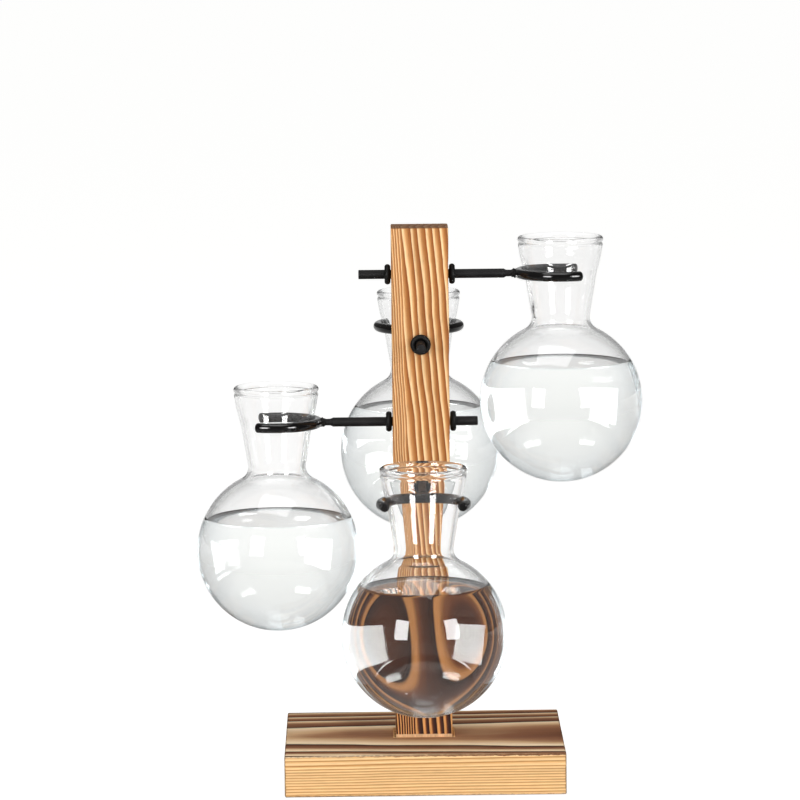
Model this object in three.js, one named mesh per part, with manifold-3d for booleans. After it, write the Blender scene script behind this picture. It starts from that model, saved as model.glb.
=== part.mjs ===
// Propagation station: a wooden stand whose four black arms carry clear bulb vases in a spiral.
// Millimetres, +Z up, the front of the stand faces -Y, and the base's underside lies on z = 0.
import * as THREE from "three";
import { mergeVertices } from "three/addons/utils/BufferGeometryUtils.js";
import Module from "manifold-3d";

const wasm = await Module();
wasm.setup();

// Stand
const baseWidth = 127;
const baseDepth = 102;
const baseThickness = 19;
const baseEdge = 0.7;
const postWidth = 26;
const postDepth = 20.5;
const postAboveHoles = 22;
const postEdge = 0.5;
const mortiseDepth = 12;
const mortiseMargin = 0.5;

// Screws that hold the post from below
const screwInset = 6;
const screwDiameter = 3.6;
const screwLength = 24;
const screwPoint = 4;
const screwHeadDiameter = 7.4;
const screwHeadHeight = 2.4;
const screwHeadRounding = 0.6;
const screwSlotLength = 4.6;
const screwSlotWidth = 1;
const screwSlotDepth = 1.3;
const recessMargin = 0.8;
const recessSink = 0.6;

// Arm rods and the rubber grommets on both sides of the post
const rodDiameter = 4.2;
const stubOverhang = 0.9;
const rodChamfer = 0.6;
const rodHoleMargin = 0.6;
const studDiameter = 3.1;
const studLength = 3.3;
const grommetThickness = 2.7;
const grommetWidth = 2.35;
const grommetGrip = 0.25;

// Holder rings
const ringBarDiameter = 4.5;
const ringTipLength = 0.9;
const ringTipSink = 0.7;
const ringTipEase = 0.05;
const mouthMargin = 3.2;

// Vases, measured from the centre of the bulb
const bulbRadius = 37;
const glassWall = 1.6;
const waistHeight = 38;
const waistRadius = 13;
const shoulderFillet = 6;
const neckFlare = 0.163;
const rimHeight = 75.6;
const rimBeadRadius = 1.4;
const hangHeight = 58.8;

// Water
const waterGap = 0.7;
const meniscusRise = 0.5;
const meniscusWidth = 1.6;

// Fits
const seatGap = 0.3;

// Spiral: the lowest bulb clears the base, each hole lies a rise above the one before it,
// and each bulb's near side stands off from the post's middle.
const lowestBulbClearance = 20.7;
const frontToLeftRise = 28;
const leftToRearRise = 36.5;
const rearToRightRise = 31;
const bulbStandoff = 27;
const frontHole = baseThickness + lowestBulbClearance + bulbRadius + hangHeight;
const leftHole = frontHole + frontToLeftRise;
const rearHole = leftHole + leftToRearRise;
const rightHole = rearHole + rearToRightRise;

// One station for each vase: the heading of its arm in degrees from +X, the height of its hole,
// how far its arm is drawn out, and its water level above the bulb's centre.
const stations = [
  { name: "right", heading: 0, holeHeight: rightHole, drawnOut: 0, waterLevel: 18 },
  { name: "rear", heading: 90, holeHeight: rearHole, drawnOut: 0, waterLevel: 20.5 },
  { name: "left", heading: 180, holeHeight: leftHole, drawnOut: 2, waterLevel: 15 },
  { name: "front", heading: 270, holeHeight: frontHole, drawnOut: 3, waterLevel: 22 },
];

// Facets
const latheSides = 24;
const rodSides = 16;
const barSides = 12;
const grommetSides = 8;
const bulbSteps = 11;
const filletSteps = 4;
const beadSteps = 6;
const ringSteps = 18;
const tipSteps = 2;

const baseWood = new THREE.MeshStandardMaterial({ color: 0x6b4a33, roughness: 0.75, metalness: 0 });
const postWood = new THREE.MeshStandardMaterial({ color: 0xcf9259, roughness: 0.65, metalness: 0 });
const zincSteel = new THREE.MeshStandardMaterial({ color: 0xb4b6b8, roughness: 0.4, metalness: 1 });
const blackMetal = new THREE.MeshStandardMaterial({ color: 0x141414, roughness: 0.4, metalness: 0.4 });
const blackRubber = new THREE.MeshStandardMaterial({ color: 0x101010, roughness: 0.7, metalness: 0 });
const clearGlass = new THREE.MeshStandardMaterial({
  color: 0xe8f0ef,
  roughness: 0.03,
  metalness: 0,
  transparent: true,
  opacity: 0.3,
});
const clearWater = new THREE.MeshStandardMaterial({
  color: 0xdfe9e6,
  roughness: 0.05,
  metalness: 0,
  transparent: true,
  opacity: 0.45,
});

function solidOf(geometry) {
  const bare = geometry.clone();
  bare.deleteAttribute("normal");
  bare.deleteAttribute("uv");
  const merged = mergeVertices(bare, 1e-4);
  const triVerts = new Uint32Array(merged.index.array);
  const vertProperties = merged.attributes.position.array;
  return new wasm.Manifold(new wasm.Mesh({ numProp: 3, vertProperties, triVerts }));
}

function geometryOf(solid) {
  const mesh = solid.getMesh();
  const geometry = new THREE.BufferGeometry();
  geometry.setAttribute("position", new THREE.BufferAttribute(mesh.vertProperties, 3));
  geometry.setIndex(new THREE.BufferAttribute(mesh.triVerts, 1));
  return geometry;
}

// A solid of revolution about Z. Its profile is a list of [radius, height] pairs.
function turned(profile, sides) {
  const points = profile.map(([radius, height]) => new THREE.Vector2(Math.max(radius, 0), height));
  return new THREE.LatheGeometry(points, sides).rotateX(Math.PI / 2);
}

// Points of an arc about [centreRadius, centreHeight], with both of its ends.
function arc(centreRadius, centreHeight, radius, from, to, steps) {
  const points = [];
  for (let i = 0; i <= steps; i++) {
    const angle = from + ((to - from) * i) / steps;
    points.push([centreRadius + radius * Math.cos(angle), centreHeight + radius * Math.sin(angle)]);
  }
  return points;
}

// A block that stands on z = 0 with all of its edges eased.
function easedBlock(width, depth, height, edge) {
  const x = width / 2 - 2 * edge;
  const y = depth / 2 - 2 * edge;
  const outline = new THREE.Shape();
  outline.absarc(x, y, edge, 0, Math.PI / 2);
  outline.absarc(-x, y, edge, Math.PI / 2, Math.PI);
  outline.absarc(-x, -y, edge, Math.PI, 1.5 * Math.PI);
  outline.absarc(x, -y, edge, 1.5 * Math.PI, 2 * Math.PI);
  const block = new THREE.ExtrudeGeometry(outline, {
    depth: height - 2 * edge,
    bevelThickness: edge,
    bevelSize: edge,
    bevelSegments: 2,
    curveSegments: 3,
  });
  return block.translate(0, 0, edge);
}

function drill(solid, hole) {
  return solid.subtract(solidOf(hole));
}

function addMesh(parent, name, geometry, material) {
  const mesh = new THREE.Mesh(geometry, material);
  mesh.name = name;
  parent.add(mesh);
  return mesh;
}

// Base
const mortiseFloor = baseThickness - mortiseDepth;
const screwPlace = postWidth / 2 - screwInset;
const screwPlaces = { left: -screwPlace, right: screwPlace };
const recessDepth = screwHeadHeight + recessSink;
const recessRadius = screwHeadDiameter / 2 + recessMargin;
const screwHoleRadius = screwDiameter / 2 + seatGap;
const screwTip = recessSink + screwHeadHeight + screwLength;

function makeBase() {
  const mortise = new THREE.BoxGeometry(
    postWidth + 2 * mortiseMargin,
    postDepth + 2 * mortiseMargin,
    2 * mortiseDepth,
  );
  let base = solidOf(easedBlock(baseWidth, baseDepth, baseThickness, baseEdge));
  base = drill(base, mortise.translate(0, 0, baseThickness));
  for (const x of Object.values(screwPlaces)) {
    const recess = new THREE.CylinderGeometry(recessRadius, recessRadius, 2 * recessDepth, rodSides);
    const hole = new THREE.CylinderGeometry(screwHoleRadius, screwHoleRadius, baseThickness, rodSides);
    base = drill(base, recess.rotateX(Math.PI / 2).translate(x, 0, 0));
    base = drill(base, hole.rotateX(Math.PI / 2).translate(x, 0, baseThickness / 2));
  }
  return geometryOf(base);
}

// Post, with a hole for each rod and two pilot holes in its foot
const postFoot = mortiseFloor + seatGap;
const postTop = rightHole + postAboveHoles;
const rodHoleRadius = rodDiameter / 2 + rodHoleMargin;

function makePost() {
  const block = easedBlock(postWidth, postDepth, postTop - postFoot, postEdge);
  let post = solidOf(block.translate(0, 0, postFoot));
  for (const { heading, holeHeight } of stations) {
    const hole = new THREE.CylinderGeometry(rodHoleRadius, rodHoleRadius, 2 * postWidth, rodSides);
    hole.rotateZ(Math.PI / 2).rotateZ(THREE.MathUtils.degToRad(heading));
    post = drill(post, hole.translate(0, 0, holeHeight));
  }
  for (const x of Object.values(screwPlaces)) {
    const height = 2 * (screwTip + seatGap - postFoot);
    const pilot = new THREE.CylinderGeometry(screwHoleRadius, screwHoleRadius, height, rodSides);
    post = drill(post, pilot.rotateX(Math.PI / 2).translate(x, 0, postFoot));
  }
  return geometryOf(post);
}

// A wood screw that points up, with a cross recess in its head
function makeScrew() {
  const shank = screwDiameter / 2;
  const head = screwHeadDiameter / 2;
  const seat = screwHeadHeight - seatGap;
  const profile = [
    [0, 0],
    [head - screwHeadRounding, 0],
    [head, screwHeadRounding],
    [head, seat],
    [shank, seat],
    [shank, screwHeadHeight + screwLength - screwPoint],
    [0, screwHeadHeight + screwLength],
  ];
  let screw = solidOf(turned(profile, rodSides));
  for (const turn of [0, Math.PI / 2]) {
    const slot = new THREE.BoxGeometry(screwSlotLength, screwSlotWidth, 2 * screwSlotDepth);
    screw = drill(screw, slot.rotateZ(turn));
  }
  return geometryOf(screw);
}

// Neck of the vase: its outer radius at a height above the bulb's centre
function neckRadiusAt(height) {
  return waistRadius + (height - waistHeight) * neckFlare;
}

const flareLean = Math.atan(neckFlare);
const barRadius = ringBarDiameter / 2;
const ringRadius = neckRadiusAt(hangHeight) + (barRadius + seatGap) / Math.cos(flareLean);
const ringInnerRadius = ringRadius - barRadius;

// The shoulder is a hollow fillet that touches the bulb and the flaring neck.
// Its centre lies on a line beside the neck, at bulbRadius + shoulderFillet from the bulb's centre.
function shoulderCentre() {
  const offset = waistRadius - waistHeight * neckFlare + shoulderFillet / Math.cos(flareLean);
  const a = 1 + neckFlare * neckFlare;
  const b = 2 * neckFlare * offset;
  const c = offset * offset - (bulbRadius + shoulderFillet) ** 2;
  const height = (-b + Math.sqrt(b * b - 4 * a * c)) / (2 * a);
  return [offset + neckFlare * height, height];
}

function makeVase() {
  const [filletRadius, filletHeight] = shoulderCentre();
  const touch = Math.atan2(filletHeight, filletRadius);
  const beadHeight = rimHeight - rimBeadRadius;
  const beadCentre = neckRadiusAt(beadHeight) - glassWall / 2 / Math.cos(flareLean);
  const beadGrip = Math.asin(glassWall / 2 / rimBeadRadius);
  const outerBead = -Math.PI / 2 - flareLean + beadGrip;
  const innerBead = 1.5 * Math.PI - flareLean - beadGrip;
  const neckSide = Math.PI - flareLean;
  const innerFillet = shoulderFillet + glassWall;
  const profile = [
    ...arc(0, 0, bulbRadius, -Math.PI / 2, touch, bulbSteps),
    ...arc(filletRadius, filletHeight, shoulderFillet, touch + Math.PI, neckSide, filletSteps).slice(1),
    ...arc(beadCentre, beadHeight, rimBeadRadius, outerBead, innerBead, beadSteps),
    ...arc(filletRadius, filletHeight, innerFillet, neckSide, touch + Math.PI, filletSteps),
    ...arc(0, 0, bulbRadius - glassWall, touch, -Math.PI / 2, bulbSteps).slice(1),
  ];
  return turned(profile, latheSides);
}

function makeWater(level) {
  const radius = bulbRadius - glassWall - waterGap;
  const edgeAngle = Math.asin((level + meniscusRise) / radius);
  const edgeRadius = radius * Math.cos(edgeAngle);
  const profile = [
    ...arc(0, 0, radius, -Math.PI / 2, edgeAngle, bulbSteps),
    [edgeRadius - meniscusWidth, level],
    [0, level],
  ];
  return turned(profile, latheSides);
}

// A rod along +X, measured from the ring's middle, with a flat-cut stub that reaches out behind
// the post and a thin stud in front that meets the ring
const armReach = bulbStandoff + bulbRadius;
const studTip = -ringRadius - barRadius - seatGap;
const rodEnd = studTip - studLength - rodChamfer;
const rodStart = -armReach - bulbStandoff - stubOverhang;

function makeRod() {
  const rod = rodDiameter / 2;
  const stud = studDiameter / 2;
  const stubEdge = rodChamfer / 2;
  const profile = [
    [0, rodStart],
    [rod - stubEdge, rodStart],
    [rod, rodStart + stubEdge],
    [rod, rodEnd],
    [stud, rodEnd + rodChamfer],
    [stud, studTip],
    [0, studTip],
  ];
  return turned(profile, rodSides).rotateY(Math.PI / 2);
}

// A rubber ring about X, thicker along the rod than across it
function makeGrommet() {
  const inner = rodDiameter / 2 + grommetGrip;
  const middle = inner + grommetWidth / 2;
  const profile = [];
  for (let i = 0; i <= grommetSides; i++) {
    const angle = (2 * Math.PI * (i % grommetSides)) / grommetSides;
    profile.push([
      middle + (grommetWidth / 2) * Math.cos(angle),
      (grommetThickness / 2) * Math.sin(angle),
    ]);
  }
  return turned(profile, rodSides).rotateY(Math.PI / 2);
}

// The centre line of a holder ring, open towards +X
const mouthAngle = Math.asin((waistRadius + mouthMargin / 2) / ringInnerRadius);
const firstAngle = mouthAngle + ringTipLength / ringRadius;

class RingLine extends THREE.Curve {
  getPoint(t, target = new THREE.Vector3()) {
    const angle = firstAngle + t * 2 * (Math.PI - firstAngle);
    return target.set(ringRadius * Math.cos(angle), ringRadius * Math.sin(angle), 0);
  }
}

// A cap with a rounded edge for an end of the bar, standing on z = 0 with its foot inside the bar
function makeRingTip() {
  const capRadius = barRadius - ringTipEase;
  const profile = [
    [0, -ringTipSink],
    [capRadius, -ringTipSink],
    ...arc(capRadius - ringTipLength, 0, ringTipLength, 0, Math.PI / 2, tipSteps),
    [0, ringTipLength],
  ];
  return turned(profile, barSides);
}

function makeHolderRing() {
  const section = new THREE.Shape().absarc(0, 0, barRadius, 0, 2 * Math.PI);
  const bar = new THREE.ExtrudeGeometry(section, {
    steps: ringSteps,
    curveSegments: barSides / 2,
    extrudePath: new RingLine(),
  });
  let ring = solidOf(bar);
  for (const side of [1, -1]) {
    const tip = makeRingTip().rotateX(side * Math.PI / 2);
    tip.translate(ringRadius, 0, 0).rotateZ(side * firstAngle);
    ring = ring.add(solidOf(tip));
  }
  return geometryOf(ring);
}

// Assembly
const station = new THREE.Group();
addMesh(station, "base", makeBase(), baseWood);
addMesh(station, "post", makePost(), postWood);
for (const [side, x] of Object.entries(screwPlaces)) {
  const screw = addMesh(station, `post_screw_${side}`, makeScrew(), zincSteel);
  screw.position.set(x, 0, recessSink);
}

for (const { name, heading, holeHeight, drawnOut, waterLevel } of stations) {
  const reach = armReach + drawnOut;
  const arm = new THREE.Group();
  arm.rotation.z = THREE.MathUtils.degToRad(heading);
  arm.position.z = holeHeight;
  station.add(arm);

  const postFace = (heading % 180 === 0 ? postWidth : postDepth) / 2;
  const grommetPlace = postFace + seatGap + grommetThickness / 2;
  addMesh(arm, `${name}_outer_grommet`, makeGrommet(), blackRubber).position.x = grommetPlace;
  addMesh(arm, `${name}_inner_grommet`, makeGrommet(), blackRubber).position.x = -grommetPlace;
  addMesh(arm, `${name}_arm_rod`, makeRod(), blackMetal).position.x = reach;
  addMesh(arm, `${name}_holder_ring`, makeHolderRing(), blackMetal).position.x = reach;
  addMesh(arm, `${name}_vase`, makeVase(), clearGlass).position.set(reach, 0, -hangHeight);
  addMesh(arm, `${name}_water`, makeWater(waterLevel), clearWater).position.set(reach, 0, -hangHeight);
}

export default station;
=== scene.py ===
import math

import bmesh
import bpy
import numpy as np
from mathutils import Matrix, Vector


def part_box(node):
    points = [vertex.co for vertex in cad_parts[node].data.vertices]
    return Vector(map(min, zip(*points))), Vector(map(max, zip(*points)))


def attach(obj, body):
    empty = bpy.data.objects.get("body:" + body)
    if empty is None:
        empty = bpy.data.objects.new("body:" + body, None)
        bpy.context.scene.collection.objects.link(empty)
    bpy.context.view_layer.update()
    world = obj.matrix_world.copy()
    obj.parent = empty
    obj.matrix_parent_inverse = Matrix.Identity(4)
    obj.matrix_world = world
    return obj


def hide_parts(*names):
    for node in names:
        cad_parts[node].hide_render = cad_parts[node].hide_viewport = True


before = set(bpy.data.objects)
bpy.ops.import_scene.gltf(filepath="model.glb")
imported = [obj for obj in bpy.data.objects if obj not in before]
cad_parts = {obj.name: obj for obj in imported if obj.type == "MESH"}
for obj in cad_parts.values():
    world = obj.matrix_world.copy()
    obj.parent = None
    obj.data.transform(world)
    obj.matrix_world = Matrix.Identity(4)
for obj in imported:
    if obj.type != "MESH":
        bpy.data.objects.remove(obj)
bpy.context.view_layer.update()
scene = bpy.context.scene
print("frame loaded")

mm = 0.001
stationNames = ["right", "rear", "left", "front"]
headings = {"right": 0, "rear": 90, "left": 180, "front": 270}


# Helpers for node trees. A socket knows its tree, so most of them aren't told.

def feed(socket, value):
    if isinstance(value, bpy.types.NodeSocket):
        socket.id_data.links.new(value, socket)
    else:
        socket.default_value = value


def feedAll(node, inputs):
    # Inputs come with their labels or numbers, or else in order
    for key, value in inputs.items() if isinstance(inputs, dict) else enumerate(inputs):
        feed(node.inputs[key], value)


def newNode(tree, kind, inputs):
    node = tree.nodes.new(kind)
    feedAll(node, inputs)
    return node.outputs[0]


def treeOf(values):
    return next(value.id_data for value in values if isinstance(value, bpy.types.NodeSocket))


def maths(operation, *values, kind="ShaderNodeMath", clamp=False):
    node = treeOf(values).nodes.new(kind)
    node.operation = operation
    if clamp:
        node.use_clamp = True
    feedAll(node, values)
    return node.outputs[0]


def add(first, second, clamp=False):
    return maths("ADD", first, second, clamp=clamp)


def minus(first, second, clamp=False):
    return maths("SUBTRACT", first, second, clamp=clamp)


def times(first, second):
    return maths("MULTIPLY", first, second)


def vectorMaths(operation, *values):
    return maths(operation, *values, kind="ShaderNodeVectorMath")


def separate(vector):
    node = vector.id_data.nodes.new("ShaderNodeSeparateXYZ")
    feed(node.inputs[0], vector)
    return node.outputs[:3]


def combine(x, y, z):
    return newNode(treeOf((x, y, z)), "ShaderNodeCombineXYZ", (x, y, z))


def remap(value, low, high, start, end, kind="LINEAR"):
    node = value.id_data.nodes.new("ShaderNodeMapRange")
    node.interpolation_type = kind
    feedAll(node, (value, low, high, start, end))
    return node.outputs[0]


def smoothStep(value, low, high, start=0.0, end=1.0):
    return remap(value, low, high, start, end, "SMOOTHSTEP")


def noise(vector, scale, detail=2.0, roughness=0.5):
    return newNode(vector.id_data, "ShaderNodeTexNoise",
                   {"Vector": vector, "Scale": scale, "Detail": detail, "Roughness": roughness})


def linear(code):
    # A hex colour as linear red, green, blue and 1
    parts = [int(code[i:i + 2], 16) / 255 for i in (0, 2, 4)]
    return [p / 12.92 if p <= 0.04045 else ((p + 0.055) / 1.055) ** 2.4 for p in parts] + [1.0]


def ramp(value, stops):
    node = value.id_data.nodes.new("ShaderNodeValToRGB")
    feed(node.inputs[0], value)
    elements = node.color_ramp.elements
    while len(elements) < len(stops):
        elements.new(1.0)
    for element, (place, code) in zip(elements, stops):
        element.position = place
        element.color = linear(code)
    return node.outputs[0]


def mixColour(share, first, second):
    node = share.id_data.nodes.new("ShaderNodeMix")
    node.data_type = "RGBA"
    feedAll(node, {0: share, 6: first, 7: second})
    return node.outputs[2]


def newGroup(name, kind, inputs, outputs):
    tree = bpy.data.node_groups.new(name, kind)
    for label, socketType, value in inputs:
        socket = tree.interface.new_socket(label, in_out="INPUT", socket_type="NodeSocket" + socketType)
        if value is not None:
            socket.default_value = value
    for label, socketType in outputs:
        tree.interface.new_socket(label, in_out="OUTPUT", socket_type="NodeSocket" + socketType)
    entry = tree.nodes.new("NodeGroupInput")
    leave = tree.nodes.new("NodeGroupOutput")
    return tree, entry.outputs, leave.inputs


def place(group, values):
    # Puts a shader group in the tree of the position that it is given
    node = values["Position"].id_data.nodes.new("ShaderNodeGroup")
    node.node_tree = group
    feedAll(node, values)
    return node.outputs


def newMaterial(name):
    material = bpy.data.materials.new(name)
    material.use_nodes = True
    tree = material.node_tree
    shader = tree.nodes["Principled BSDF"]
    position = tree.nodes.new("ShaderNodeTexCoord").outputs["Object"]
    return material, shader, position


def toSurface(shade):
    feed(shade.id_data.nodes["Material Output"].inputs["Surface"], shade)


def bump(height, distance, strength):
    return newNode(height.id_data, "ShaderNodeBump", {"Strength": strength, "Distance": distance, "Height": height})


def finishGeometry(geometry, material, result):
    # The end of each geometry tree
    tree = geometry.id_data
    realised = newNode(tree, "GeometryNodeRealizeInstances", {"Geometry": geometry})
    coated = newNode(tree, "GeometryNodeSetMaterial", {"Geometry": realised, "Material": material})
    feed(result["Geometry"], coated)


# Helpers for meshes

def newObject(name, data):
    made = bpy.data.objects.new(name, data)
    scene.collection.objects.link(made)
    return made


def newPiece(name, mesh, materials, body, nodes):
    kept = [polygon.material_index for polygon in mesh.polygons]
    mesh.materials.clear()
    for material in materials:
        mesh.materials.append(material)
    if len(materials) > 1:
        mesh.polygons.foreach_set("material_index", kept)
    piece = newObject(name, mesh)
    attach(piece, body)
    if nodes:
        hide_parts(*nodes)
    return piece


def meshFrom(name, points, faces, sharpAbove=None):
    mesh = bpy.data.meshes.new(name)
    mesh.from_pydata([tuple(p) for p in points], [], faces)
    mesh.update()
    mesh.shade_smooth()
    if sharpAbove is not None:
        mesh.set_sharp_from_angle(angle=math.radians(sharpAbove))
    return mesh


def skinRows(rows, sides):
    # Faces between the neighbouring rows of a turned shape; a row of one point closes it
    faces = []
    for low, high in zip(rows, rows[1:]):
        for i in range(sides):
            j = (i + 1) % sides
            if len(low) == 1:
                faces.append((low[0], high[j], high[i]))
            elif len(high) == 1:
                faces.append((low[i], low[j], high[0]))
            else:
                faces.append((low[i], low[j], high[j], high[i]))
    return faces


def lathe(name, profile, sides, sharpAbove=None, wobble=None):
    # Turns a profile of [radius, height] about Z; a radius of 0 closes the shape in one point
    points, rows = [], []
    for radius, height in profile:
        if radius < 1e-9:
            rows.append([len(points)])
            points.append((0.0, 0.0, height))
            continue
        row = []
        for i in range(sides):
            angle = 2 * math.pi * i / sides
            r = radius * (wobble(angle, height) if wobble else 1.0)
            row.append(len(points))
            points.append((r * math.cos(angle), r * math.sin(angle), height))
        rows.append(row)
    return meshFrom(name, points, skinRows(rows, sides), sharpAbove)


def arc(centreRadius, centreHeight, radius, start, end, steps):
    angles = [start + (end - start) * i / steps for i in range(steps + 1)]
    return [[centreRadius + radius * math.cos(a), centreHeight + radius * math.sin(a)] for a in angles]


def middleOf(node):
    low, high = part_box(node)
    return [(a + b) / 2 for a, b in zip(low, high)]


def armFrame(name, reach):
    # Turns a mesh made along +X at the post into an arm's own place
    height = middleOf(name + "_arm_rod")[2]
    turn = Matrix.Rotation(math.radians(headings[name]), 4, "Z")
    return Matrix.Translation((0, 0, height)) @ turn @ Matrix.Translation((reach, 0, 0))


def reachOf(name):
    low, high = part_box(name + "_vase")
    middle = (low + high) / 2
    return math.hypot(middle.x, middle.y)


def evaluated(piece):
    graph = bpy.context.evaluated_depsgraph_get()
    mesh = bpy.data.meshes.new_from_object(piece.evaluated_get(graph))
    bpy.data.objects.remove(piece)
    return mesh


# Growth rings, as one group for the materials and one for the relief of the same wood.
# Position is in millimetres, with its third part along the grain.

ringDefaults = {"Pith U": 0.0, "Pith V": 0.0, "Ring Width": 3.0, "Fine Width": 1.0, "Fine From": 1000.0, "Slant": 0.0,
                "Lean": 0.0, "Wander": 1.0, "Wave": 1.0, "Seed": 0.0}
ringInputs = [(label, "Float", value) for label, value in ringDefaults.items()]


def makeRings(kind):
    tree, given, result = newGroup("growthRings", kind, [("Position", "Vector", None), *ringInputs],
                                   [("Ring", "Float"), ("Tone", "Float"), ("Fine", "Float")])
    u, v, w = separate(given["Position"])
    shifted = add(times(w, given["Wave"]), times(given["Seed"], 100.0))
    slow = noise(combine(u, v, times(shifted, 0.5)), 0.022, 2.0)
    quick = noise(combine(u, v, times(shifted, 0.4)), 0.09, 4.0, 0.55)
    drift = add(minus(slow, 0.5), times(minus(quick, 0.5), 0.28))
    drift = times(drift, times(given["Wander"], 2.0))
    du = minus(u, add(given["Pith U"], times(given["Lean"], w)))
    dv = minus(v, given["Pith V"])
    radius = maths("SQRT", add(times(du, du), times(dv, dv)))
    radius = add(radius, drift)
    wide = maths("DIVIDE", maths("MINIMUM", radius, given["Fine From"]), given["Ring Width"])
    beyond = maths("MAXIMUM", minus(radius, given["Fine From"]), 0.0)
    fine = maths("DIVIDE", beyond, given["Fine Width"])
    uneven = noise(combine(radius, given["Seed"], 0.0), 0.12, 1.0)
    phase = add(add(wide, fine), times(uneven, 1.4))
    phase = minus(phase, times(given["Slant"], w))
    feed(result["Ring"], maths("FRACT", phase))
    random = tree.nodes.new("ShaderNodeTexWhiteNoise")
    random.noise_dimensions = "1D"
    feed(random.inputs["W"], add(maths("FLOOR", phase), given["Seed"]))
    feed(result["Tone"], random.outputs["Value"])
    feed(result["Fine"], smoothStep(minus(radius, given["Fine From"]), -1.6, 0.6))
    return tree


ringsInShader = makeRings("ShaderNodeTree")
ringsInRelief = makeRings("GeometryNodeTree")


# Fibres and pores that run with the grain: the squeeze along it, then scale, detail and roughness
fibreKinds = {"Fibre": (0.035, 4.5, 3.0, 0.6), "Streak": (0.02, 1.1, 2.0, 0.5), "Pore": (0.06, 3.1, 1.0, 0.5),
              "Patch": (0.4, 0.045, 2.0, 0.5)}


def makeFibres():
    tree, given, result = newGroup("woodFibres", "ShaderNodeTree", [("Position", "Vector", None)],
                                   [(label, "Float") for label in fibreKinds])
    u, v, w = separate(given["Position"])
    for label, (squeeze, *kind) in fibreKinds.items():
        value = noise(combine(u, v, times(w, squeeze)), *kind)
        feed(result[label], smoothStep(value, 0.66, 0.74) if label == "Pore" else value)
    return tree


# A mask along the edges of a block: 1 on the arris, 0 a width away from it
def makeArris():
    inputs = [("Position", "Vector", None), ("Centre", "Vector", None), ("Half Size", "Vector", None),
              ("Width", "Float", 1.0)]
    tree, given, result = newGroup("arris", "ShaderNodeTree", inputs, [("Mask", "Float")])
    away = vectorMaths("ABSOLUTE", vectorMaths("SUBTRACT", given["Position"], given["Centre"]))
    inside = vectorMaths("SUBTRACT", given["Half Size"], away)
    x, y, z = separate(inside)
    least = maths("MINIMUM", maths("MINIMUM", x, y), z)
    most = maths("MAXIMUM", maths("MAXIMUM", x, y), z)
    total = add(add(x, y), z)
    second = minus(minus(total, least), most)
    ragged = times(given["Width"], remap(noise(given["Position"], 0.55, 3.0), 0.3, 0.7, 0.4, 1.5))
    feed(result["Mask"], minus(1.0, maths("DIVIDE", second, ragged), clamp=True))
    return tree


# Skin of black paint: colour, roughness and a slight orange peel
def makePaintSkin():
    inputs = [("Position", "Vector", None), ("Dark", "Color", None), ("Light", "Color", None), ("Smooth", "Float", 0.3),
              ("Dull", "Float", 0.5)]
    outputs = [("Colour", "Color"), ("Roughness", "Float"), ("Height", "Float")]
    tree, given, result = newGroup("paintSkin", "ShaderNodeTree", inputs, outputs)
    cloud = noise(given["Position"], 140.0, 3.0)
    speck = noise(given["Position"], 1900.0, 2.0, 0.6)
    feed(result["Colour"], mixColour(smoothStep(cloud, 0.35, 0.7), given["Dark"], given["Light"]))
    worn = add(times(cloud, 0.7), times(speck, 0.3))
    feed(result["Roughness"], remap(worn, 0.3, 0.7, given["Smooth"], given["Dull"]))
    feed(result["Height"], add(speck, times(cloud, 0.6)))
    return tree


woodFibres = makeFibres()
arris = makeArris()
paintSkin = makePaintSkin()
print("node groups built")


# Stage: a pale floor, a pale world and three soft lamps

stageLook = {
    "floorRadius": 14.0, "floorSides": 96, "floorDrop": 0.0003, "floorGlow": 0.79, "floorShade": 0.5,
    "floorPaintedReflection": 0.5, "mirroredFloor": 0.3, "paperDark": (0.92, 0.92, 0.915, 1), "paperLight": (0.95, 0.95, 0.945, 1),
    "white": (1.0, 1.0, 0.99, 1), "worldDiffuse": 0.4, "wallGlossy": 0.62, "sideGlossy": 0.09, "insideGlass": 0.44,
    "deepInGlass": 1.0, "boxDistance": 1.25, "boxAim": (0, 0, 0.13), "clothBehind": 0.01, "clothGlare": 11.0,
    # Degrees from the front and up, width and height in metres, power in watts
    "boxes": {"softboxLeft": (-32, 12, 0.4, 0.56, 5.06), "softboxRight": (37, 12, 0.4, 0.56, 4.6),
              "softboxTop": (-20, 76, 0.9, 0.7, 5.5)},
}

cameraLook = {"lens": 215.74, "place": (-0.0240, -2.1679, 0.4580), "heading": -0.383, "down": 7.481, "roll": -0.570,
              "bounces": 24}


def grey(level):
    return (level, level, level, 1)


def lightPath(tree):
    # Masks: 1 for what the camera sees directly or through clear glass, 1 for what is mirrored on the way, and
    # 1 for what is mirrored inside the glass. Last comes the grey that is mirrored there.
    path = tree.nodes.new("ShaderNodeLightPath").outputs
    mirrored = maths("GREATER_THAN", path["Glossy Depth"], 0.5)
    through = times(path["Is Transmission Ray"], minus(1.0, mirrored))
    seen = maths("MAXIMUM", path["Is Camera Ray"], through)
    inside = times(maths("GREATER_THAN", path["Transmission Depth"], 0.5), mirrored)
    twice = maths("GREATER_THAN", path["Glossy Depth"], 1.5)
    glassed = mixColour(twice, grey(stageLook["insideGlass"]), grey(stageLook["deepInGlass"]))
    return seen, mirrored, inside, glassed


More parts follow.
